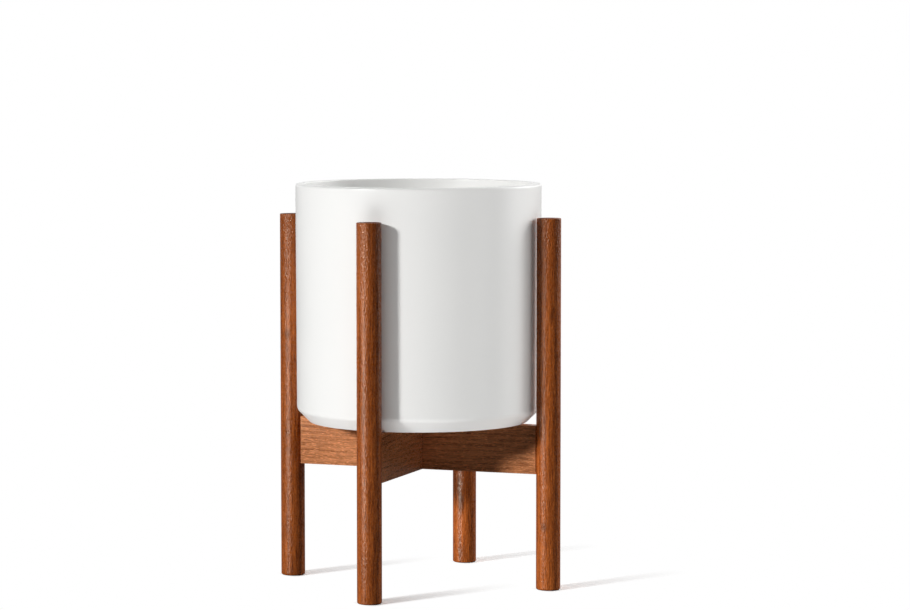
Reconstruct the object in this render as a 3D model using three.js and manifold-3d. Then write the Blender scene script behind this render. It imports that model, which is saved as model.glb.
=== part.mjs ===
// A four-post wooden plant stand with the planter pot that it carries.
// Millimetres, +Z up. The origin is on the floor, under the middle of the stand.
// The front post stands on -Y, the right one on +X, the back one on +Y, the left one on -X.

import * as THREE from 'three';
import { mergeVertices } from 'three/addons/utils/BufferGeometryUtils.js';
import Module from 'manifold-3d';

const wasm = await Module();
wasm.setup();

// ---- planter pot ----
const potDiameter = 253.6; // across the lip
const potHeight = 245.4;
const potDraft = 0.9; // how much smaller the wall's radius is at its foot than at the lip
const potWall = 9;
const potFloor = 10;
const potBevel = 12.8; // 45 degree bevel between the wall and the foot
const potBevelRound = 8; // where the bevel meets the wall
const potFootRound = 1.5; // where the bevel meets the foot
const potLipRound = 3;
const potInsideRound = 16; // between the inner wall and the floor
const footRingWidth = 10;
const footRecess = 2; // how far the underside is hollowed inside the foot ring
const drainHole = 16;

// ---- drain plug ----
const plugFlange = 28;
const plugFlangeThickness = 3;
const plugShankLength = 9;
const plugTaper = 0.4; // how much smaller the shank's radius is at its tip
const plugKnob = 10;
const plugKnobHeight = 6;
const plugRound = 1;
const plugLandMargin = 2; // how far the pot's flat land round the drain hole runs past the plug

// ---- posts ----
const postDiameter = 25;
const postHeight = 381;
const postFootChamfer = 1.6;
const postTopArris = 0.5;
const seatDepth = 1.3; // flat seat milled into the post for the end of its crossbar

// ---- crossbars ----
const barHeight = 50;
const barThickness = 13.5;
const barUnderside = 119; // height of the crossbars over the floor
const barArris = 0.5; // eased long edges

// ---- dowel pins ----
const pinDiameter = 6;
const pinSpacing = 26;
const pinInPost = 12;
const pinInBar = 18;
const pinFlutes = 12;
const fluteDepth = 0.3;
const fluteCrest = 0.3; // share of a flute's pitch that keeps the pin's full radius
const fluteBottom = 0.65; // where along its pitch a flute is deepest
const pinChamfer = 0.8;

// ---- clearances ----
const potSideGap = 2.1; // between the pot's lip and each post
const restGap = 0.3; // under a piece that rests on another
const jointGap = 0.3; // all round the crossbars' notches and seats
const glueGap = 0.2; // round a pin, and round the plug's shank
const boreEndGap = 0.5; // past the end of a pin

// ---- smoothness ----
const postSides = 48;
const potSides = 72;
const plugSides = 24;
const boreSides = 24;
const arcStep = Math.PI / 8; // the most that a rounded corner turns in one step
const roundingError = 1e-6; // angles closer than this are the same
const sameCorner = 1e-4; // corners closer than this are one

// ---- places that follow from the sizes ----
const postRadius = postDiameter / 2;
const postOffset = potDiameter / 2 + potSideGap + postRadius; // from the middle to a post's axis
const seatPlane = postOffset - postRadius + seatDepth;
const barHalfLength = seatPlane - jointGap;
const barTop = barUnderside + barHeight;
const barMiddle = barUnderside + barHeight / 2;
const potBase = barTop + restGap;
const pinHeights = { upper: barMiddle + pinSpacing / 2, lower: barMiddle - pinSpacing / 2 };

const postWood = new THREE.MeshStandardMaterial({ color: 0x84451f, roughness: 0.45, metalness: 0 });
const barWood = new THREE.MeshStandardMaterial({ color: 0x8a5230, roughness: 0.5, metalness: 0 });
const pinWood = new THREE.MeshStandardMaterial({ color: 0xc9a273, roughness: 0.75, metalness: 0 });
const whiteGlaze = new THREE.MeshStandardMaterial({ color: 0xf2f1ee, roughness: 0.45, metalness: 0 });
const greyRubber = new THREE.MeshStandardMaterial({ color: 0x8d8d8a, roughness: 0.8, metalness: 0 });

// ---------------------------------------------------------------- solids

/** A closed geometry as a solid: shared corners merged, triangles without area left out. */
function solid(geometry) {
  const bare = geometry.clone();
  bare.deleteAttribute('normal');
  bare.deleteAttribute('uv');
  const merged = mergeVertices(bare, sameCorner);
  const triangles = [];
  for (let i = 0; i < merged.index.count; i += 3) {
    const [a, b, c] = [0, 1, 2].map((corner) => merged.index.getX(i + corner));
    if (a !== b && b !== c && c !== a) triangles.push(a, b, c);
  }
  return new wasm.Manifold(new wasm.Mesh({
    numProp: 3,
    vertProperties: new Float32Array(merged.attributes.position.array),
    triVerts: new Uint32Array(triangles),
  }));
}

/** A solid as a geometry. */
function surface(body) {
  const mesh = body.getMesh();
  const geometry = new THREE.BufferGeometry();
  geometry.setAttribute('position', new THREE.BufferAttribute(mesh.vertProperties, 3));
  geometry.setIndex(new THREE.BufferAttribute(mesh.triVerts, 1));
  geometry.computeVertexNormals();
  return geometry;
}

/** The geometry with each of the cutters taken away. */
function cut(geometry, cutters) {
  let body = solid(geometry);
  for (const cutter of cutters) body = body.subtract(solid(cutter));
  return surface(body);
}

/** An outline through the corners [x, y, radius], each rounded by an arc of its radius. */
function roundedOutline(corners, closed) {
  const at = (i) => new THREE.Vector2(...corners[(i + corners.length) % corners.length].slice(0, 2));
  const points = [];
  corners.forEach(([x, y, radius], i) => {
    const corner = new THREE.Vector2(x, y);
    const isEnd = !closed && (i === 0 || i === corners.length - 1);
    if (!radius || isEnd) {
      points.push(corner);
      return;
    }
    const back = at(i - 1).sub(corner).normalize();
    const ahead = at(i + 1).sub(corner).normalize();
    const half = back.angleTo(ahead) / 2;
    const bisector = back.clone().add(ahead).normalize();
    const centre = corner.clone().addScaledVector(bisector, radius / Math.sin(half));
    const reach = radius / Math.tan(half);
    const start = corner.clone().addScaledVector(back, reach).sub(centre);
    const end = corner.clone().addScaledVector(ahead, reach).sub(centre);
    const sweep = Math.atan2(start.cross(end), start.dot(end));
    const steps = Math.ceil(Math.abs(sweep) / arcStep - roundingError);
    for (let step = 0; step <= steps; step += 1) {
      const turned = start.clone().rotateAround(new THREE.Vector2(), (sweep * step) / steps);
      points.push(centre.clone().add(turned));
    }
  });
  if (closed) points.push(points[0].clone());
  return points;
}

/** A profile [radius, height] revolved about Z. It runs upwards on its outer side. */
function revolve(points, sides) {
  return new THREE.LatheGeometry(points, sides).rotateX(Math.PI / 2);
}

/** A round bore along +X, from x = 0 to its depth. */
function bore(diameter, depth) {
  return new THREE.CylinderGeometry(diameter / 2, diameter / 2, depth, boreSides)
    .rotateZ(Math.PI / 2)
    .translate(depth / 2, 0, 0);
}

// ---------------------------------------------------------------- wooden frame

/** A round post on the origin, with a flat seat and two pin bores on its -X side. */
function post() {
  const blank = revolve([
    new THREE.Vector2(0, 0),
    new THREE.Vector2(postRadius - postFootChamfer, 0),
    new THREE.Vector2(postRadius, postFootChamfer),
    new THREE.Vector2(postRadius, postHeight - postTopArris),
    new THREE.Vector2(postRadius - postTopArris, postHeight),
    new THREE.Vector2(0, postHeight),
  ], postSides);
  const seatX = seatDepth - postRadius;
  const seat = new THREE.BoxGeometry(postDiameter, postDiameter, barHeight + 2 * jointGap)
    .translate(seatX - postRadius, 0, barMiddle);
  const bores = Object.values(pinHeights).map((height) => (
    bore(pinDiameter + 2 * glueGap, seatDepth + pinInPost + boreEndGap).translate(seatX - seatDepth, 0, height)
  ));
  return cut(blank, [seat, ...bores]);
}

/** A crossbar along X, on edge, notched at its middle from its top or from its underside. */
function crossbar(notchedFrom) {
  const section = new THREE.Shape(roundedOutline([
    [-barThickness / 2, -barHeight / 2, barArris],
    [barThickness / 2, -barHeight / 2, barArris],
    [barThickness / 2, barHeight / 2, barArris],
    [-barThickness / 2, barHeight / 2, barArris],
  ], true));
  const blank = new THREE.ExtrudeGeometry(section, { depth: 2 * barHalfLength, bevelEnabled: false })
    .translate(0, 0, -barHalfLength)
    .rotateY(Math.PI / 2)
    .rotateX(Math.PI / 2);
  const side = notchedFrom === 'top' ? 1 : -1;
  const notch = new THREE.BoxGeometry(barThickness + 2 * jointGap, barThickness * 2, barHeight)
    .translate(0, 0, side * (barHeight / 2 - jointGap / 2));
  const bores = [];
  for (const height of Object.values(pinHeights)) {
    for (const turn of [0, Math.PI]) {
      bores.push(bore(pinDiameter + 2 * glueGap, pinInBar + boreEndGap + jointGap)
        .rotateY(Math.PI)
        .translate(barHalfLength + jointGap, 0, 0)
        .rotateZ(turn)
        .translate(0, 0, height - barMiddle));
    }
  }
  return cut(blank, [notch, ...bores]);
}

/** A fluted dowel pin along X, its ends chamfered, with x = 0 where the crossbar ends. */
function dowelPin() {
  const crest = pinDiameter / 2;
  const pitch = (2 * Math.PI) / pinFlutes;
  const outline = [];
  for (let flute = 0; flute < pinFlutes; flute += 1) {
    for (const [turn, radius] of [[0, crest], [fluteCrest, crest], [fluteBottom, crest - fluteDepth]]) {
      const angle = (flute + turn) * pitch;
      outline.push(new THREE.Vector2(radius * Math.cos(angle), radius * Math.sin(angle)));
    }
  }
  const length = pinInPost + pinInBar;
  const fluted = new THREE.ExtrudeGeometry(new THREE.Shape(outline), { depth: length, bevelEnabled: false });
  const chamfered = revolve([
    new THREE.Vector2(0, 0),
    new THREE.Vector2(crest - pinChamfer, 0),
    new THREE.Vector2(pinDiameter, crest + pinChamfer),
    new THREE.Vector2(pinDiameter, length - crest - pinChamfer),
    new THREE.Vector2(crest - pinChamfer, length),
    new THREE.Vector2(0, length),
  ], boreSides);
  return surface(solid(fluted).intersect(solid(chamfered)))
    .rotateY(Math.PI / 2)
    .translate(-pinInBar, 0, 0);
}

// ---------------------------------------------------------------- planter pot

/** The pot on the origin: wall, bevelled base, foot ring, and a floor with the plug's land and hole. */
function pot() {
  const lip = potDiameter / 2;
  const wallFoot = lip - potDraft;
  const foot = wallFoot - potBevel;
  const ringInside = foot - footRingWidth;
  const floorTop = footRecess + potFloor;
  const lipRound = Math.min(potLipRound, potWall / 2);
  return revolve(roundedOutline([
    [drainHole / 2, footRecess, 0],
    [ringInside - footRecess, footRecess, 0],
    [ringInside, 0, 0],
    [foot, 0, potFootRound],
    [wallFoot, potBevel, potBevelRound],
    [lip, potHeight, lipRound],
    [lip - potWall, potHeight, lipRound],
    [wallFoot - potWall, floorTop, potInsideRound],
    [plugFlange / 2 + plugLandMargin, floorTop, 0],
    [drainHole / 2, floorTop, 0],
  ], true), potSides);
}

/** The drain plug on the origin, with z = 0 on the pot's floor. */
function drainPlug() {
  const shank = drainHole / 2 - glueGap;
  return revolve(roundedOutline([
    [0, -plugShankLength, 0],
    [shank - plugTaper, -plugShankLength, 0],
    [shank, 0, 0],
    [plugFlange / 2, 0, 0],
    [plugFlange / 2, plugFlangeThickness, plugRound],
    [plugKnob / 2, plugFlangeThickness, 0],
    [plugKnob / 2, plugFlangeThickness + plugKnobHeight, plugRound],
    [0, plugFlangeThickness + plugKnobHeight, 0],
  ], false), plugSides);
}

// ---------------------------------------------------------------- assembly

function piece(name, geometry, material, x, y, z) {
  const mesh = new THREE.Mesh(geometry, material);
  mesh.name = name;
  mesh.position.set(x, y, z);
  return mesh;
}

/** One side of the stand along +X: its post, and the pins that hold the crossbar's end. */
function side(name) {
  const group = new THREE.Group();
  group.add(piece(`post_${name}`, post(), postWood, postOffset, 0, 0));
  for (const [level, height] of Object.entries(pinHeights)) {
    group.add(piece(`pin_${name}_${level}`, dowelPin(), pinWood, barHalfLength, 0, height));
  }
  return group;
}

const plantStand = new THREE.Group();

['right', 'back', 'left', 'front'].forEach((name, quarter) => {
  const group = side(name);
  group.rotation.z = (quarter * Math.PI) / 2;
  plantStand.add(group);
});

plantStand.add(piece('crossbar_left_right', crossbar('top'), barWood, 0, 0, barMiddle));
const upperBar = piece('crossbar_front_back', crossbar('underside'), barWood, 0, 0, barMiddle);
upperBar.rotation.z = Math.PI / 2;
plantStand.add(upperBar);

plantStand.add(piece('planter_pot', pot(), whiteGlaze, 0, 0, potBase));
plantStand.add(piece('drain_plug', drainPlug(), greyRubber, 0, 0, potBase + footRecess + potFloor + restGap));

export default plantStand;
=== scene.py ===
"""A low plant stand of stained wood: four round posts and two half-lapped crossbars on edge,
which carry a white glazed planter pot with a rubber plug in its drain hole.

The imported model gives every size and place, in metres. This script makes each visible piece's
fine surface and its finish, then the floor, the studio light and the camera."""

import math

import bmesh
import bpy
import numpy as np
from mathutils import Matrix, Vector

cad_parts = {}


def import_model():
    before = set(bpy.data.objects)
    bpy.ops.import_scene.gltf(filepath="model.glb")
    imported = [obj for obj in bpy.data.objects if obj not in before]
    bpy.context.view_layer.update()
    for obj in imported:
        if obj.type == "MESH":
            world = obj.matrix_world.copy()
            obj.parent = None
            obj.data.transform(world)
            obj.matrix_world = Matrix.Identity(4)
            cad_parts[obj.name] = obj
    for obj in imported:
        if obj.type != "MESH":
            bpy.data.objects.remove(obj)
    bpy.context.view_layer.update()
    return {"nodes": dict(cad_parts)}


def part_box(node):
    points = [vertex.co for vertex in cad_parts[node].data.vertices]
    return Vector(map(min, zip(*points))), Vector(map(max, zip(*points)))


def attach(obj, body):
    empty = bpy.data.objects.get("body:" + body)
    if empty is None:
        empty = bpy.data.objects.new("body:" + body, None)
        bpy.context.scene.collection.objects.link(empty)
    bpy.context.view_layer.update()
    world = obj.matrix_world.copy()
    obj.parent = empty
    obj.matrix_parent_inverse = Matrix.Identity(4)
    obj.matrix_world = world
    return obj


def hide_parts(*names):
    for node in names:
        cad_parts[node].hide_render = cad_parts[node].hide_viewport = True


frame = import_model()

# where each post stands, in degrees from +X, counterclockwise from above
SIDES = {"right": 0.0, "back": 90.0, "left": 180.0, "front": 270.0}

# ---------------------------------------------------------------- sizes in metres

POST_TOP_ARRIS = 0.0006
POST_FOOT_ROUND = 0.0021
SEAT_DEPTH = 0.0013  # the flat seat in the post for the end of its crossbar
JOINT_SLACK = 0.0003  # all round the crossbars' seats and notches

BAR_ARRIS = 0.0007

POT_WALL = 0.009
POT_FLOOR = 0.010
POT_DRAFT = 0.0009
POT_BEVEL = 0.0128
POT_BEVEL_ROUND = 0.008
POT_FOOT_ROUND = 0.0015
POT_LIP_ROUND = 0.0025
POT_LIP_INSIDE_ROUND = 0.0012
POT_INSIDE_ROUND = 0.016
FOOT_RING_WIDTH = 0.010
FOOT_RING_ROUND = 0.001
FOOT_RING_WIPED = FOOT_RING_ROUND / 3  # how high up the ring the glaze was wiped off
FOOT_RECESS = 0.002
DRAIN_HOLE = 0.016
DRAIN_HOLE_ROUND = 0.001

PLUG_SHANK_LENGTH = 0.009
PLUG_SHANK_SLACK = 0.0002
PLUG_TAPER = 0.0004
PLUG_FLANGE_THICKNESS = 0.003
PLUG_KNOB = 0.010
PLUG_ROUND = 0.001
PLUG_RIDGE = 0.00025  # the moulding line round the flange's edge

# how finely the surfaces are cut: columns round each piece, and the steps of its rounds
POST_COLUMNS = 144
SEAT_COLUMNS = 24
POT_COLUMNS = 288
PLUG_COLUMNS = 96
ARC_STEP = math.radians(6)
ARRIS_POINTS = 7  # over a quarter turn
SHARP_ANGLE = math.radians(32)  # edges that turn more than this stay sharp
SAME_POINT = 1e-7


def extent(node):
    """A CAD node's lowest and highest corners, as arrays."""
    low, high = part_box(node)
    return np.array(low), np.array(high)


# ---------------------------------------------------------------- surfaces

def rounded(corners):
    """A line through the corners (x, y, radius). A corner with a radius becomes an arc that touches
    both of its sides. Its centre lies on the bisector, radius / sin(half the corner's angle) from
    the corner."""
    places = [np.array(corner[:2]) for corner in corners]
    line = [places[0]]
    for before, here, after, (_, _, radius) in zip(places, places[1:], places[2:], corners[1:-1]):
        if not radius:
            line.append(here)
            continue
        back = (before - here) / np.linalg.norm(before - here)
        ahead = (after - here) / np.linalg.norm(after - here)
        bisector = (back + ahead) / np.linalg.norm(back + ahead)
        half = math.acos(np.clip(back @ ahead, -1, 1)) / 2
        centre = here + bisector * radius / math.sin(half)
        start = here + back * radius / math.tan(half) - centre
        end = here + ahead * radius / math.tan(half) - centre
        sweep = math.atan2(start[0] * end[1] - start[1] * end[0], start @ end)
        turn = np.linspace(0, sweep, 1 + math.ceil(abs(sweep) / ARC_STEP))
        line.extend(np.stack([
            centre[0] + start[0] * np.cos(turn) - start[1] * np.sin(turn),
            centre[1] + start[0] * np.sin(turn) + start[1] * np.cos(turn),
        ], 1))
    line.append(places[-1])
    return np.array(line)


def turned(profile, columns):
    """The profile's points (radius, height) turned about the stand's middle: a grid of rows by
    angles, x = radius cos(angle), y = radius sin(angle), z = height."""
    angles = np.linspace(0, 2 * math.pi, columns, endpoint=False)
    radius = profile[:, :1]
    heights = across_row(profile[:, 1], columns)
    return np.stack([radius * np.cos(angles), radius * np.sin(angles), heights], 2)


def skin(name, grid, marks, loop=False, capped=False):
    """A mesh over a grid of points whose columns run round the piece: a face joins each pair of
    neighbouring rows and columns. loop joins the last row to the first, and capped closes the
    first and last rows with a face each. marks are values for each point, by name."""
    rows, columns = grid.shape[:2]
    index = np.arange(rows * columns).reshape(rows, columns)
    if loop:
        index = np.vstack([index, index[:1]])
    beside = np.roll(index, -1, axis=1)
    faces = np.stack([index[:-1], beside[:-1], beside[1:], index[1:]], 2).reshape(-1, 4).tolist()
    if capped:
        faces += [index[0].tolist(), index[-1].tolist()]
    mesh = bpy.data.meshes.new(name)
    mesh.from_pydata(grid.reshape(-1, 3), [], faces)
    for mark, values in marks.items():
        layer = mesh.attributes.new(mark, "FLOAT", "POINT")
        layer.data.foreach_set("value", np.ascontiguousarray(values, np.float32).ravel())
    shell = bmesh.new()
    shell.from_mesh(mesh)
    bmesh.ops.remove_doubles(shell, verts=shell.verts, dist=SAME_POINT)
    bmesh.ops.recalc_face_normals(shell, faces=shell.faces)
    shell.to_mesh(mesh)
    shell.free()
    mesh.shade_smooth()
    mesh.set_sharp_from_angle(angle=SHARP_ANGLE)
    piece = bpy.data.objects.new(name, mesh)
    bpy.context.scene.collection.objects.link(piece)
    return piece


def across_row(values, columns):
    """One value for each row of a grid, carried over all its columns."""
    return np.repeat(np.asarray(values, float)[:, None], columns, axis=1)


# ---------------------------------------------------------------- pieces

def post(side):
    """A round post and its axis (x, y). Its profile is a straight line with a round at the foot and
    an arris at the top. Between the seat's two ledges the radius is cut back to the seat's plane:
    radius = plane / cos(angle from the seat)."""
    low, high = extent(f"post_{side}")
    bar_low, bar_high = extent("crossbar_left_right")
    turn = math.radians(SIDES[side])
    axis = (low + high)[:2] / 2
    # half of its width across the crossbar, where the seat takes nothing away
    radius = abs((high - low)[:2] @ (math.sin(turn), math.cos(turn))) / 2
    flat = radius - SEAT_DEPTH
    ledges = bar_low[2] - JOINT_SLACK, bar_high[2] + JOINT_SLACK

    below = rounded([
        (0, low[2], 0),
        (radius, low[2], POST_FOOT_ROUND),
        (radius, ledges[0], 0),
    ])
    above = rounded([
        (radius, ledges[1], 0),
        (radius, high[2], POST_TOP_ARRIS),
        (0, high[2], 0),
    ])
    rows = np.vstack([below, [(radius, ledge) for ledge in ledges], above])
    in_seat = np.zeros(len(rows), bool)
    in_seat[len(below):-len(above)] = True

    edge = math.acos(flat / radius)
    angles = np.r_[
        np.linspace(-edge, edge, SEAT_COLUMNS, endpoint=False),
        np.linspace(edge, 2 * math.pi - edge, POST_COLUMNS, endpoint=False),
    ]
    reach = across_row(rows[:, 0], len(angles))
    plane = flat / np.maximum(np.cos(angles), flat / radius)
    reach[in_seat] = np.minimum(reach[in_seat], plane)
    facing = angles + turn + math.pi
    grid = np.stack([
        axis[0] + reach * np.cos(facing),
        axis[1] + reach * np.sin(facing),
        across_row(rows[:, 1], len(angles)),
    ], 2)

    ends = (rows[:, 1] < low[2] + SAME_POINT) | (rows[:, 1] > high[2] - SAME_POINT)
    near_end = np.minimum(rows[:, 1] - low[2], high[2] - rows[:, 1])
    marks = {
        "end_grain": across_row(ends, len(angles)),
        "arris": across_row((near_end < POST_FOOT_ROUND) & ~ends, len(angles)),
    }
    piece = skin(f"turned_post_{side}", grid, marks)
    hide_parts(f"post_{side}")
    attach(piece, "stand")
    return piece, axis


def crossbar(name, node, along, notch_from):
    """A board on edge along X or Y, half-lapped at its middle. Its outline (along, height) is a
    rectangle with a notch. An arris is carried round it: at angle t from 0 to 90 degrees the
    outline draws in by arris (1 - sin t), arris cos t before its own straight edge."""
    low, high = extent(node)
    reach = high[along]
    half = high[1 - along]
    level = (low[2] + high[2]) / 2
    side = 1 if notch_from == "top" else -1
    tall = (high[2] - low[2]) / 2
    slot = half + JOINT_SLACK
    floor = -side * JOINT_SLACK / 2
    outline = np.array([
        (-reach, -side * tall), (reach, -side * tall), (reach, side * tall), (slot, side * tall),
        (slot, floor), (-slot, floor), (-slot, side * tall), (-reach, side * tall),
    ])[::side]
    forward = np.roll(outline, -1, axis=0) - outline
    inward = np.stack([-forward[:, 1], forward[:, 0]], 1)
    inward /= np.linalg.norm(inward, axis=1, keepdims=True)
    corner = inward + np.roll(inward, 1, axis=0)  # from both of its sides at once

    turn = np.linspace(0, math.pi / 2, ARRIS_POINTS)
    draw_in = BAR_ARRIS * (1 - np.sin(turn))
    stand_out = half - BAR_ARRIS + BAR_ARRIS * np.cos(turn)
    draw_in = np.r_[draw_in, draw_in[::-1]]
    stand_out = np.r_[-stand_out, stand_out[::-1]]
    flat = outline[None] + corner[None] * draw_in[:, None, None]
    thickness = across_row(stand_out, len(outline))
    order = (flat[..., 0], thickness) if along == 0 else (-thickness, flat[..., 0])
    grid = np.stack([*order, flat[..., 1] + level], 2)

    on_arris = (draw_in > SAME_POINT) & (draw_in < BAR_ARRIS - SAME_POINT)
    marks = {
        "end_grain": np.zeros(grid.shape[:2]),
        "arris": across_row(on_arris, len(outline)),
    }
    piece = skin(name, grid, marks, capped=True)
    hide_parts(node)
    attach(piece, "stand")
    return piece


def planter():
    """The pot, one closed profile turned about the stand's middle: outer wall with a slight draft,
    bevelled base, foot ring, hollowed underside, drain hole, floor and inner wall. The profile
    starts and ends halfway up the drain hole."""
    low, high = extent("planter_pot")
    base, top, lip = low[2], high[2], high[0]
    wall_foot = lip - POT_DRAFT
    foot = wall_foot - POT_BEVEL
    ring_inside = foot - FOOT_RING_WIDTH
    floor_top = base + FOOT_RECESS + POT_FLOOR
    hole = DRAIN_HOLE / 2
    middle = (base + floor_top) / 2
    profile = rounded([
        (hole, middle, 0),
        (hole, base + FOOT_RECESS, DRAIN_HOLE_ROUND),
        (ring_inside - FOOT_RECESS, base + FOOT_RECESS, FOOT_RING_ROUND),
        (ring_inside, base, FOOT_RING_ROUND),
        (foot, base, POT_FOOT_ROUND),
        (wall_foot, base + POT_BEVEL, POT_BEVEL_ROUND),
        (lip, top, POT_LIP_ROUND),
        (lip - POT_WALL, top, POT_LIP_INSIDE_ROUND),
        (wall_foot - POT_WALL, floor_top, POT_INSIDE_ROUND),
        (hole, floor_top, DRAIN_HOLE_ROUND),
        (hole, middle, 0),
    ])[:-1]
    radius, height = profile.T
    wiped = (height < base + FOOT_RING_WIPED) & (radius > ring_inside - FOOT_RECESS)
    marks = {"bare_clay": across_row(wiped, POT_COLUMNS)}
    piece = skin("glazed_pot", turned(profile, POT_COLUMNS), marks, loop=True)
    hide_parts("planter_pot")
    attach(piece, "pot")
    return piece


def plug():
    """The drain plug, turned about the stand's middle: tapered shank, flange with a moulding line
    round its edge, and the knob that it is pulled by."""
    low, high = extent("drain_plug")
    bottom, top, flange = low[2], high[2], high[0]
    seat = bottom + PLUG_SHANK_LENGTH
    flange_top = seat + PLUG_FLANGE_THICKNESS
    shank = DRAIN_HOLE / 2 - PLUG_SHANK_SLACK
    rim = flange - PLUG_RIDGE
    ridge = (seat + flange_top) / 2
    knob = PLUG_KNOB / 2
    profile = rounded([
        (0, bottom, 0),
        (shank - PLUG_TAPER, bottom, PLUG_ROUND),
        (shank, seat, 0),
        (rim, seat, PLUG_ROUND / 2),
        (rim, ridge - PLUG_RIDGE, 0),
        (flange, ridge, 0),
        (rim, ridge + PLUG_RIDGE, 0),
        (rim, flange_top, PLUG_ROUND / 2),
        (knob, flange_top, PLUG_ROUND / 2),
        (knob, top, PLUG_ROUND),
        (0, top, 0),
    ])
    piece = skin("rubber_plug", turned(profile, PLUG_COLUMNS), {})
    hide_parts("drain_plug")
    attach(piece, "plug")
    return piece


# ---------------------------------------------------------------- node sheets

class Sheet:
    """Places nodes in one tree and joins them. An input is a plain value or another node's output.
    place returns the new node, group its outputs, and every other method the one output in use."""

    def __init__(self, tree):
        self.tree = tree

    def place(self, kind, inputs, **settings):
        made = self.tree.nodes.new(kind)
        for name, value in settings.items():
            setattr(made, name, value)
        for socket, value in inputs.items():
            if isinstance(value, bpy.types.NodeSocket):
                self.tree.links.new(value, made.inputs[socket])
            else:
                made.inputs[socket].default_value = value
        return made

    def group(self, tree, inputs):
        return self.place("ShaderNodeGroup", inputs, node_tree=tree).outputs

    def object_place(self):
        """The point on the surface, in metres: each piece's object sits at the origin."""
        return self.place("ShaderNodeTexCoord", {}).outputs["Object"]

    def attribute(self, name):
        return self.place("ShaderNodeAttribute", {}, attribute_name=name).outputs["Fac"]

    def noise(self, vector, detail=2.0, roughness=0.5, output="Fac"):
        inputs = {"Vector": vector, "Scale": 1.0, "Detail": detail, "Roughness": roughness}
        return self.place("ShaderNodeTexNoise", inputs).outputs[output]

    def vector(self, operation, a, b):
        return self.place("ShaderNodeVectorMath", {0: a, 1: b}, operation=operation).outputs[0]

    def reach(self, vector, direction):
        """How far the vector goes along a direction."""
        inputs = {0: vector, 1: direction}
        made = self.place("ShaderNodeVectorMath", inputs, operation="DOT_PRODUCT")
        return made.outputs["Value"]

    def math(self, operation, a, b=0.0):
        return self.place("ShaderNodeMath", {0: a, 1: b}, operation=operation).outputs[0]

    def total(self, *terms):
        """The sum of (weight, value) pairs."""
        result = 0.0
        for weight, value in terms:
            inputs = {0: value, 1: weight, 2: result}
            result = self.place("ShaderNodeMath", inputs, operation="MULTIPLY_ADD").outputs[0]
        return result

    def remap(self, value, low, high, to_low=0.0, to_high=1.0):
        inputs = {
            "Value": value, "From Min": low, "From Max": high, "To Min": to_low, "To Max": to_high,
        }
        return self.place("ShaderNodeMapRange", inputs).outputs[0]

    def colour(self, factor, a, b, blend="MIX"):
        """Colour a where the factor is 0, blended with colour b where it is 1. The node keeps its
        colours in sockets 6 and 7, and its result in 2."""
        inputs = {"Factor": factor, 6: a, 7: b}
        return self.place("ShaderNodeMix", inputs, data_type="RGBA", blend_type=blend).outputs[2]

    def bump(self, height, strength, distance):
        """The normal over a relief that is distance high, in metres, where Height is 1."""
        inputs = {"Height": height, "Strength": strength, "Distance": distance}
        return self.place("ShaderNodeBump", inputs).outputs["Normal"]

    def principled(self, inputs):
        return self.place("ShaderNodeBsdfPrincipled", inputs).outputs["BSDF"]

    def diffuse(self, tone):
        return self.place("ShaderNodeBsdfDiffuse", {"Color": grey(tone)}).outputs[0]

    def choose(self, factor, a, b):
        """Shader a where the factor is 0, and shader b where it is 1."""
        return self.place("ShaderNodeMixShader", {0: factor, 1: a, 2: b}).outputs[0]

    def camera_ray(self):
        return self.place("ShaderNodeLightPath", {}).outputs["Is Camera Ray"]


def grey(value):
    return (value, value, value, 1.0)


def effect(name, inputs, outputs):
    """An empty shader node group with these named inputs (kind, value) and outputs (kind), its
    sheet, the sockets that its inputs arrive on and those that its outputs leave by."""
    tree = bpy.data.node_groups.new(name, "ShaderNodeTree")
    for label, (kind, value) in inputs.items():
        socket = tree.interface.new_socket(label, in_out="INPUT", socket_type=f"NodeSocket{kind}")
        if value is not None:
            socket.default_value = value
    for label, kind in outputs.items():
        tree.interface.new_socket(label, in_out="OUTPUT", socket_type=f"NodeSocket{kind}")
    source = tree.nodes.new("NodeGroupInput").outputs
    target = tree.nodes.new("NodeGroupOutput").inputs
    return tree, Sheet(tree), source, target


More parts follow.
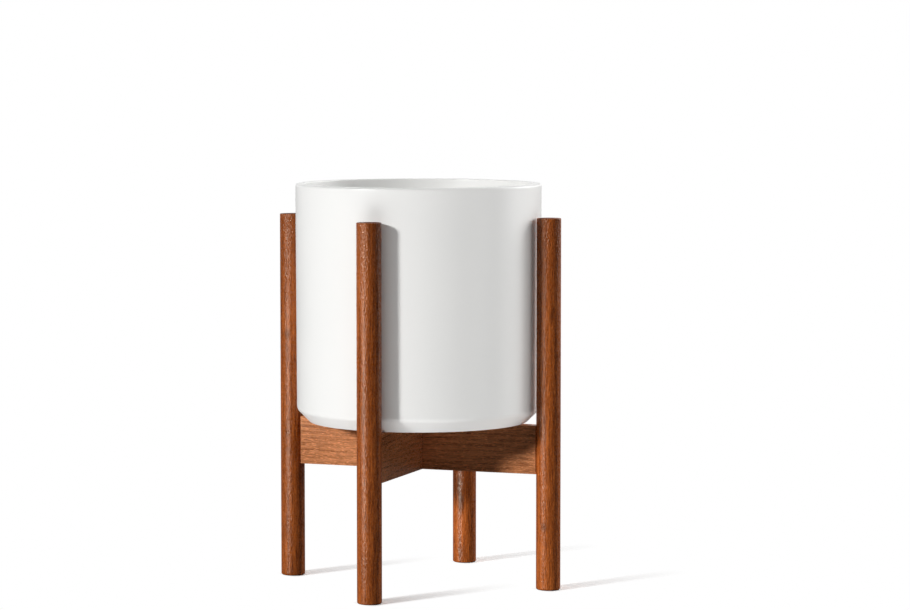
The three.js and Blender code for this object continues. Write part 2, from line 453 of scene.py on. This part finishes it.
def lengthwise_grain():
    """Wood seen along its grain, which runs along Z of Vector, in metres from the tree's heart.
    Growth rings, long streaks and fibres add up to a tone from 0 to 1, which picks the colour
    between Dark, Middle and Light. Dark pores, pale flecks and now and then a dark knot lie on it.
    Height is the fibres' relief under the lacquer, and the lacquer's own small waves."""
    tree, sheet, given, out = effect("lengthwise_grain", {
        "Vector": ("Vector", None),
        "Light": ("Color", grey(0.5)),
        "Middle": ("Color", grey(0.3)),
        "Dark": ("Color", grey(0.1)),
        "Ring Spacing": ("Float", 0.004),
        "Figure": ("Float", 1.0),
        "Pores": ("Float", 1.0),
        "Flecks": ("Float", 1.0),
        "Knots": ("Float", 0.0),
        "Lacquer": ("Float", 0.0),
    }, {"Color": "Color", "Roughness": "Float", "Height": "Float"})

    def scaled(vector, across, along):
        """The vector with so many features a metre across and along the grain."""
        return sheet.vector("MULTIPLY", vector, (across, across, along))

    def figure_noise(across, along, start, low, high, *detail):
        """Noise that follows the grain, from 0 at low to 1 at high. start keeps it apart from the
        others."""
        vector = sheet.vector("ADD", scaled(wavy, across, along), (start, -start, start))
        return sheet.remap(sheet.noise(vector, *detail), low, high)

    # the grain wanders by a millimetre or two
    drift = sheet.noise(scaled(given["Vector"], 26, 13), 2.0, 0.5, "Color")
    drift = sheet.vector("SUBTRACT", drift, (0.5, 0.5, 0.5))
    drift = sheet.vector("MULTIPLY", drift, (0.006, 0.006, 0.0))
    wavy = sheet.vector("ADD", given["Vector"], drift)

    # each ring is a very long ellipsoid round the heart, because the trunk tapers
    squeezed = scaled(wavy, 1, 0.012)
    heart = sheet.place("ShaderNodeVectorMath", {0: squeezed}, operation="LENGTH").outputs["Value"]
    rings = sheet.math("DIVIDE", heart, given["Ring Spacing"])
    ring = sheet.remap(sheet.math("SINE", sheet.math("MULTIPLY", rings, 2 * math.pi)), -1, 1)
    cloud = figure_noise(40, 8, 3, 0.3, 0.7, 2.0)
    streak = figure_noise(560, 13, 11, 0.3, 0.7, 2.0, 0.6)
    fibre = figure_noise(1300, 55, 17, 0.34, 0.66, 2.0, 0.65)
    pore = figure_noise(1500, 110, 23, 0.60, 0.74, 0.0)
    fleck = figure_noise(1300, 220, 31, 0.60, 0.74, 0.0)
    knot = figure_noise(52, 24, 43, 0.66, 0.76, 1.0)

    figure = sheet.total((0.14, ring), (0.22, cloud), (0.26, streak), (0.38, fibre))
    contrast = sheet.math("MULTIPLY", sheet.math("SUBTRACT", figure, 0.5), given["Figure"])
    tone = sheet.math("ADD", contrast, 0.5)
    lower = sheet.colour(sheet.remap(tone, 0.1, 0.5), given["Dark"], given["Middle"])
    body = sheet.colour(sheet.remap(tone, 0.5, 0.9), lower, given["Light"])
    dark = sheet.colour(1.0, given["Dark"], grey(0.55), "MULTIPLY")
    pale = sheet.colour(1.0, given["Light"], grey(1.35), "MULTIPLY")
    marks = (pore, "Pores", dark), (fleck, "Flecks", pale), (knot, "Knots", dark)
    for mask, share, paint in marks:
        body = sheet.colour(sheet.math("MULTIPLY", mask, given[share]), body, paint)

    lacquer = sheet.noise(scaled(given["Vector"], 600, 290), 1.0)
    glint = sheet.remap(sheet.noise(scaled(given["Vector"], 800, 400), 1.0), 0.46, 0.64)
    relief = sheet.total((0.12, streak), (0.15, fibre), (-0.15, pore))
    waves = sheet.math("MULTIPLY", lacquer, given["Lacquer"])
    links = tree.links.new
    links(body, out["Color"])
    links(sheet.total((1.0, 0.34), (0.05, cloud), (-0.20, glint)), out["Roughness"])
    links(sheet.math("ADD", relief, waves), out["Height"])
    return tree


def fine_mottle():
    """An even, moulded or glazed surface: Cloud is its slow drift and Grit its fine grain, both
    about 0.5, and Height adds them up. Vector is in metres."""
    tree, sheet, given, out = effect("fine_mottle", {
        "Vector": ("Vector", None),
        "Cloud Scale": ("Float", 20.0),
        "Grit Scale": ("Float", 900.0),
        "Grit Share": ("Float", 0.3),
    }, {"Cloud": "Float", "Grit": "Float", "Height": "Float"})

    def mottled(scale, *detail):
        """Noise with so many features a metre."""
        inputs = {0: given["Vector"], "Scale": scale}
        vector = sheet.place("ShaderNodeVectorMath", inputs, operation="SCALE").outputs["Vector"]
        return sheet.remap(sheet.noise(vector, *detail), 0.25, 0.75)

    cloud = mottled(given["Cloud Scale"], 3.0)
    grit = mottled(given["Grit Scale"], 2.0, 0.6)
    share = sheet.math("MULTIPLY", grit, given["Grit Share"])
    links = tree.links.new
    links(cloud, out["Cloud"])
    links(grit, out["Grit"])
    links(sheet.math("ADD", cloud, share), out["Height"])
    return tree


GRAIN = lengthwise_grain()
MOTTLE = fine_mottle()


# ---------------------------------------------------------------- finishes

WOOD_RELIEF = 0.00016  # metres for a Height of 1
# near the posts' tops, between these heights, the wood is darkened as painted shade and the lacquer
# dried unevenly
TOP_BEGINS = 0.27
TOP_FULL = 0.37
# painted shade: how much darker the posts' tops are made, against the end grain's darkening
TOP_PAINTED_SHADE = 0.42  # of the end grain's
TOP_LACQUER = 2.4  # times the wood's own waves

# light, middle and dark
POST_TONES = ((0.70, 0.182, 0.033), (0.43, 0.102, 0.0165), (0.175, 0.035, 0.0055))
BAR_TONES = ((0.88, 0.355, 0.150), (0.55, 0.205, 0.0780), (0.22, 0.062, 0.0180))
BEECH_TONES = ((0.70, 0.47, 0.25), (0.60, 0.38, 0.19), (0.42, 0.24, 0.11))

# fade is how much paler the stain is where the arrises were sanded, and lacquer is how high its
# waves stand
POST_WOOD = {
    "grain": {"Ring Spacing": 0.0042, "Figure": 1.2, "Pores": 0.3, "Flecks": 0.35, "Knots": 0.8},
    "fade": 0.1,
    "lacquer": 2.6,
}
BAR_WOOD = {
    "grain": {"Ring Spacing": 0.0060, "Figure": 1.0, "Pores": 0.3, "Flecks": 0.5, "Knots": 0.0},
    "fade": 0.35,
    "lacquer": 1.1,
}
BEECH_GRAIN = {"Ring Spacing": 0.0021, "Figure": 0.8, "Pores": 0.35, "Flecks": 0.5, "Knots": 0.0}


def material(name):
    """A new material without nodes, and its sheet."""
    made = bpy.data.materials.new(name)
    made.use_nodes = True
    made.node_tree.nodes.clear()
    return made, Sheet(made.node_tree)


def show(sheet, shader, output="ShaderNodeOutputMaterial"):
    """Ends a material's or a world's nodes in this shader."""
    sheet.place(output, {"Surface": shader})


def opaque(tones):
    """The tones as shader colours."""
    return [(*tone, 1.0) for tone in tones]


def stained_wood(name, tones, heart, turn, grain, fade, lacquer):
    """Stained and lacquered wood. heart is where the tree's middle lay, and turn brings the grain
    to the pattern's Z."""
    made, sheet = material(name)
    place = sheet.object_place()
    mapped = sheet.place("ShaderNodeMapping", {
        "Vector": place, "Location": heart, "Rotation": turn,
    }, vector_type="POINT").outputs["Vector"]
    light, middle, dark = opaque(tones)
    height = sheet.place("ShaderNodeSeparateXYZ", {"Vector": place}).outputs["Z"]
    near_top = sheet.remap(height, TOP_BEGINS, TOP_FULL)
    waves = sheet.remap(near_top, 0, 1, lacquer, TOP_LACQUER * lacquer)
    wood = sheet.group(GRAIN, {
        "Vector": mapped, "Light": light, "Middle": middle, "Dark": dark, "Lacquer": waves, **grain,
    })
    end_grain = sheet.attribute("end_grain")
    worn = sheet.math("MULTIPLY", sheet.attribute("arris"), fade)
    # the end grain's own darker stain, and painted shade that darkens the posts' tops
    end_grain_and_painted_shade = sheet.math("MAXIMUM", end_grain, sheet.math("MULTIPLY", near_top, TOP_PAINTED_SHADE))
    soaked_and_shaded = sheet.colour(end_grain_and_painted_shade, wood["Color"], sheet.colour(0.9, wood["Color"], dark))
    rough = sheet.math("ADD", wood["Roughness"], sheet.math("MULTIPLY", end_grain, 0.5))
    show(sheet, sheet.principled({
        "Base Color": sheet.colour(worn, soaked_and_shaded, light), "Roughness": rough,
        "Normal": sheet.bump(wood["Height"], 1.0, WOOD_RELIEF),
        "IOR": 1.45, "Specular Tint": (1.0, 0.86, 0.72, 1.0),
    }))
    return made


def bare_beech(name, turn):
    """Unstained beech, for the dowel pins."""
    made, sheet = material(name)
    mapped = sheet.place("ShaderNodeMapping", {
        "Vector": sheet.object_place(), "Rotation": turn,
    }).outputs["Vector"]
    light, middle, dark = opaque(BEECH_TONES)
    wood = sheet.group(GRAIN, {
        "Vector": mapped, "Light": light, "Middle": middle, "Dark": dark, "Lacquer": 0.0,
        **BEECH_GRAIN,
    })
    show(sheet, sheet.principled({
        "Base Color": wood["Color"], "Roughness": 0.7,
        "Normal": sheet.bump(wood["Height"], 0.5, 0.0001),
    }))
    return made


def white_glaze():
    """A satin white glaze over pale clay, which is bare where the foot ring was wiped."""
    made, sheet = material("white_glaze")
    place = sheet.object_place()
    mottle = sheet.group(MOTTLE, {
        "Vector": place, "Cloud Scale": 16.0, "Grit Scale": 700.0, "Grit Share": 0.12,
    })
    clay = sheet.group(MOTTLE, {
        "Vector": place, "Cloud Scale": 150.0, "Grit Scale": 2600.0, "Grit Share": 0.8,
    })
    bare = sheet.attribute("bare_clay")
    glaze = sheet.colour(mottle["Cloud"], (0.86, 0.86, 0.845, 1), (0.875, 0.872, 0.855, 1))
    body = sheet.colour(clay["Grit"], (0.62, 0.55, 0.46, 1), (0.74, 0.68, 0.59, 1))
    rough = sheet.total((1.0, 0.27), (0.05, mottle["Cloud"]), (0.03, mottle["Grit"]), (0.45, bare))
    show(sheet, sheet.principled({
        "Base Color": sheet.colour(bare, glaze, body), "Roughness": rough,
        "Normal": sheet.bump(mottle["Height"], 0.25, 0.0002), "IOR": 1.5,
    }))
    return made


def grey_rubber():
    """Matt moulded rubber with a little dust in its grain."""
    made, sheet = material("grey_rubber")
    mottle = sheet.group(MOTTLE, {
        "Vector": sheet.object_place(), "Cloud Scale": 120.0, "Grit Scale": 2400.0,
        "Grit Share": 0.9,
    })
    rubber = sheet.colour(mottle["Cloud"], (0.25, 0.25, 0.245, 1), (0.31, 0.31, 0.30, 1))
    dust = sheet.remap(mottle["Grit"], 0.6, 0.9, 0.0, 0.35)
    show(sheet, sheet.principled({
        "Base Color": sheet.colour(dust, rubber, (0.5, 0.49, 0.47, 1)),
        "Roughness": sheet.remap(mottle["Grit"], 0, 1, 0.62, 0.78),
        "Normal": sheet.bump(mottle["Height"], 0.5, 0.0001),
    }))
    return made


def finish(piece, look):
    """Gives a piece one material all over, in place of what it had."""
    piece.data.materials.clear()
    piece.data.materials.append(look)


# ---------------------------------------------------------------- the stand and its pot

# what turns the grain upright in the pattern
UPRIGHT = (0.0, 0.0, 0.0)
ALONG_X = (0.0, math.pi / 2, 0.0)
ALONG_Y = (math.pi / 2, 0.0, 0.0)

# from each post's axis to the heart of the tree that it was cut from
HEARTS = {
    "front": (0.031, 0.022),
    "right": (-0.018, 0.034),
    "back": (0.026, -0.030),
    "left": (-0.037, -0.012),
}
# how light each post's wood is, against POST_TONES: partly its own tone and partly painted light
# and shade, for how each post is lit
POST_TONE_AND_PAINTED_LIGHT = {"front": 0.9, "right": 1.0, "back": 0.93, "left": 0.8}

POSTS = {}
for side in SIDES:
    POSTS[side], axis = post(side)
    heart = (HEARTS[side][0] - axis[0], HEARTS[side][1] - axis[1], 0.0)
    tones = np.array(POST_TONES) * POST_TONE_AND_PAINTED_LIGHT[side]
    finish(POSTS[side], stained_wood(f"post_wood_{side}", tones, heart, UPRIGHT, **POST_WOOD))

# each crossbar's piece and CAD node, the axis it runs along, where its notch is sawn from, and
# its grain's turn and heart
BARS = []
for name, node, along, notch_from, turn, heart in (
    ("notched_bar_left_right", "crossbar_left_right", 0, "top", ALONG_X, (0.21, 0.048, -0.02)),
    ("notched_bar_front_back", "crossbar_front_back", 1, "below", ALONG_Y, (-0.052, 0.03, 0.19)),
):
    BARS.append(crossbar(name, node, along, notch_from))
    finish(BARS[-1], stained_wood(f"bar_wood_{node}", BAR_TONES, heart, turn, **BAR_WOOD))

beech = {
    "right": bare_beech("beech_along_x", ALONG_X),
    "front": bare_beech("beech_along_y", ALONG_Y),
}
beech["left"], beech["back"] = beech["right"], beech["front"]
for side in SIDES:
    for level in ("upper", "lower"):
        finish(frame["nodes"][f"pin_{side}_{level}"], beech[side])

POT, PLUG = planter(), plug()
finish(POT, white_glaze())
finish(PLUG, grey_rubber())


# ---------------------------------------------------------------- stage

FLOOR_SIZE = 60.0
FLOOR_DROP = 0.0001  # under the feet, so that no two faces lie in one plane
FLOOR_PALE = 0.14  # the floor's own tone, for the light that it throws up
FLOOR_SHOWN = 1.3  # and as the camera sees it, so that only shadows are less than white

# the strip in which a post's shadow shows on the floor
SHADOW_LENGTH = 0.19
SHADOW_HALF_WIDTH = 0.018
SHADOW_EDGE = 0.006  # over which its sides fade
SHADOW_BEGINS = 0.011  # before the foot's middle

CAMERA_HEADING = 290.414  # seen from the stand
KEY_HEADING = 238.4

# the white background's heading, and the cosines of the angle from it over which it ends
WORLD_HEADING = 91.0
WORLD_EDGE = 0.28, 0.56
WORLD_FRONT = 0.03
WORLD_BACK = 1.0

# Each sun's strength, then its heading, height over the horizon and width in degrees, then the
# only pieces that it lights, or None for all. The key light's heading and height come from the
# shadows on the floor and on the pot. The side reflector and the bounce from the floor shade the
# pot, and the low fill reaches the back post under it.
SUNS = {
    "key": (2.65, KEY_HEADING, 18.5, 8, None),
    "reflector": (0.12, CAMERA_HEADING + 75, 0, 120, None),
    "window": (1.8, 48, 25, 40, None),
    "side_reflector": (1.1, CAMERA_HEADING + 81, 0, 60, [POT, PLUG]),
    "floor_bounce": (1.95, CAMERA_HEADING - 24, -60, 80, [POT, PLUG]),
    "low_fill": (0.85, KEY_HEADING, -4, 20, [POSTS["back"]]),
}

# the strip light, an upright panel
STRIP_RADIANCE = 7.8
STRIP_HEADING = 243.0
STRIP_DISTANCE = 1.3
STRIP_WIDTH = 0.5
STRIP_BOTTOM, STRIP_TOP = -0.2, 0.5


def heading(degrees):
    """The level unit vector at an angle in degrees from +X, counterclockwise from above."""
    return math.cos(math.radians(degrees)), math.sin(math.radians(degrees)), 0.0


def floor():
    """A pale floor. To the camera it is white but for the posts' shadows: each shows in a strip
    that runs from its foot straight away from the key light, and fades along it. From below the
    floor is clear, so that the underside can be seen."""
    half = FLOOR_SIZE / 2
    square = (-half, -half), (half, -half), (half, half), (-half, half)
    mesh = bpy.data.meshes.new("floor")
    mesh.from_pydata([(x, y, -FLOOR_DROP) for x, y in square], [], [(0, 1, 2, 3)])
    plane = bpy.data.objects.new("floor", mesh)
    bpy.context.scene.collection.objects.link(plane)

    made, sheet = material("floor_paint")
    place = sheet.object_place()
    away = heading(KEY_HEADING + 180)
    across = heading(KEY_HEADING + 90)

    def distance(direction, foot):
        """How far the floor's point lies from a foot, measured along a level direction."""
        return sheet.math("SUBTRACT", sheet.reach(place, direction), float(np.dot(direction, foot)))

    shown = 0.0
    for side in SIDES:
        low, high = extent(f"post_{side}")
        foot = (low + high) / 2 * (1, 1, 0)
        fade = sheet.remap(distance(away, foot), 0, SHADOW_LENGTH, 1.0, 0.0)
        aside = sheet.math("ABSOLUTE", distance(across, foot))
        inner = SHADOW_HALF_WIDTH - SHADOW_EDGE
        strip = sheet.remap(aside, inner, SHADOW_HALF_WIDTH, 1.0, 0.0)
        beside = sheet.remap(distance(away, foot), -SHADOW_BEGINS, 0)
        here = sheet.math("MULTIPLY", sheet.math("MULTIPLY", fade, strip), beside)
        shown = sheet.math("MAXIMUM", here, shown)

    white = sheet.place("ShaderNodeEmission", {"Color": grey(1.0), "Strength": 1.0}).outputs[0]
    clear = sheet.place("ShaderNodeBsdfTransparent", {}).outputs[0]
    seen = sheet.camera_ray()
    below = sheet.place("ShaderNodeNewGeometry", {}).outputs["Backfacing"]
    strips = sheet.choose(shown, white, sheet.diffuse(FLOOR_SHOWN))
    above = sheet.choose(seen, sheet.diffuse(FLOOR_PALE), strips)
    show(sheet, sheet.choose(sheet.math("MULTIPLY", below, seen), above, clear))
    finish(plane, made)


def world():
    """The studio: a white background behind the stand, and a darker room on the camera's side. The
    camera itself sees white all round."""
    made = bpy.data.worlds.new("studio")
    bpy.context.scene.world = made
    made.use_nodes = True
    made.node_tree.nodes.clear()
    sheet = Sheet(made.node_tree)
    towards = sheet.place("ShaderNodeTexCoord", {}).outputs["Generated"]
    facing = sheet.reach(towards, heading(WORLD_HEADING))
    room, white = (
        sheet.place("ShaderNodeBackground", {"Color": grey(1.0), "Strength": strength}).outputs[0]
        for strength in (sheet.remap(facing, *WORLD_EDGE, WORLD_FRONT, WORLD_BACK), 1.0)
    )
    show(sheet, sheet.choose(sheet.camera_ray(), room, white), "ShaderNodeOutputWorld")


def lamp(name, kind, strength, bearing, height, **settings):
    """A sun or area lamp that shines from a heading and a height over the horizon, in degrees."""
    data = bpy.data.lights.new(name, kind)
    data.energy = strength
    for setting, value in settings.items():
        setattr(data, setting, value)
    light = bpy.data.objects.new(name, data)
    light.rotation_euler = (math.radians(90 - height), 0, math.radians(bearing + 90))
    bpy.context.scene.collection.objects.link(light)
    return light


def only_on(light, pieces):
    """Keeps a lamp's light to some of the pieces, as flags do in a studio, and it goes no further
    than the first that it meets. Only the stand and its pot throw a shadow in it, so that it can
    shine up from under the floor."""
    lit = bpy.data.collections.new(f"lit_by_{light.name}")
    for piece in pieces:
        lit.objects.link(piece)
    light.light_linking.receiver_collection = lit
    shading = bpy.data.collections.new(f"shading_{light.name}")
    for piece in (*POSTS.values(), *BARS, POT, PLUG):
        shading.objects.link(piece)
    light.light_linking.blocker_collection = shading
    light.data.cycles.max_bounces = 0


def strip_light():
    """A panel that shows only as the long highlight in the posts' lacquer. An area lamp's power is
    its radiance times pi and its area."""
    tall = STRIP_TOP - STRIP_BOTTOM
    power = STRIP_RADIANCE * math.pi * STRIP_WIDTH * tall
    size = {"shape": "RECTANGLE", "size": STRIP_WIDTH, "size_y": tall}
    light = lamp("strip_light", "AREA", power, STRIP_HEADING, 0.0, **size)
    middle = (0, 0, (STRIP_BOTTOM + STRIP_TOP) / 2)
    light.location = STRIP_DISTANCE * np.array(heading(STRIP_HEADING)) + middle
    light.visible_diffuse = False
    only_on(light, POSTS.values())


floor()
world()
for name, (strength, bearing, height, width, pieces) in SUNS.items():
    sun = lamp(name, "SUN", strength, bearing, height, angle=math.radians(width))
    if pieces:
        only_on(sun, pieces)
strip_light()

# the camera that took the photograph, solved from the posts, the crossbars and the pot
CAMERA_DISTANCE = 3.3076
CAMERA_HEIGHT = 0.5493
CAMERA_TURN = 19.763  # where it looks, in degrees from +Y towards -X
CAMERA_DIP = 4.505
CAMERA_SIGHT = 200  # how far it sees, well past the floor's edge
LENS = 126.98
SENSOR = 36.0


def camera():
    """The camera, at the photograph's place and angle."""
    data = bpy.data.cameras.new("camera")
    data.lens = LENS
    data.sensor_width = SENSOR
    data.sensor_fit = "HORIZONTAL"
    data.clip_end = CAMERA_SIGHT
    view = bpy.data.objects.new("camera", data)
    view.location = CAMERA_DISTANCE * np.array(heading(CAMERA_HEADING)) + (0, 0, CAMERA_HEIGHT)
    view.rotation_euler = (math.radians(90 - CAMERA_DIP), 0, math.radians(CAMERA_TURN))
    bpy.context.scene.collection.objects.link(view)
    bpy.context.scene.camera = view


camera()
bpy.context.scene.view_settings.view_transform = "Standard"
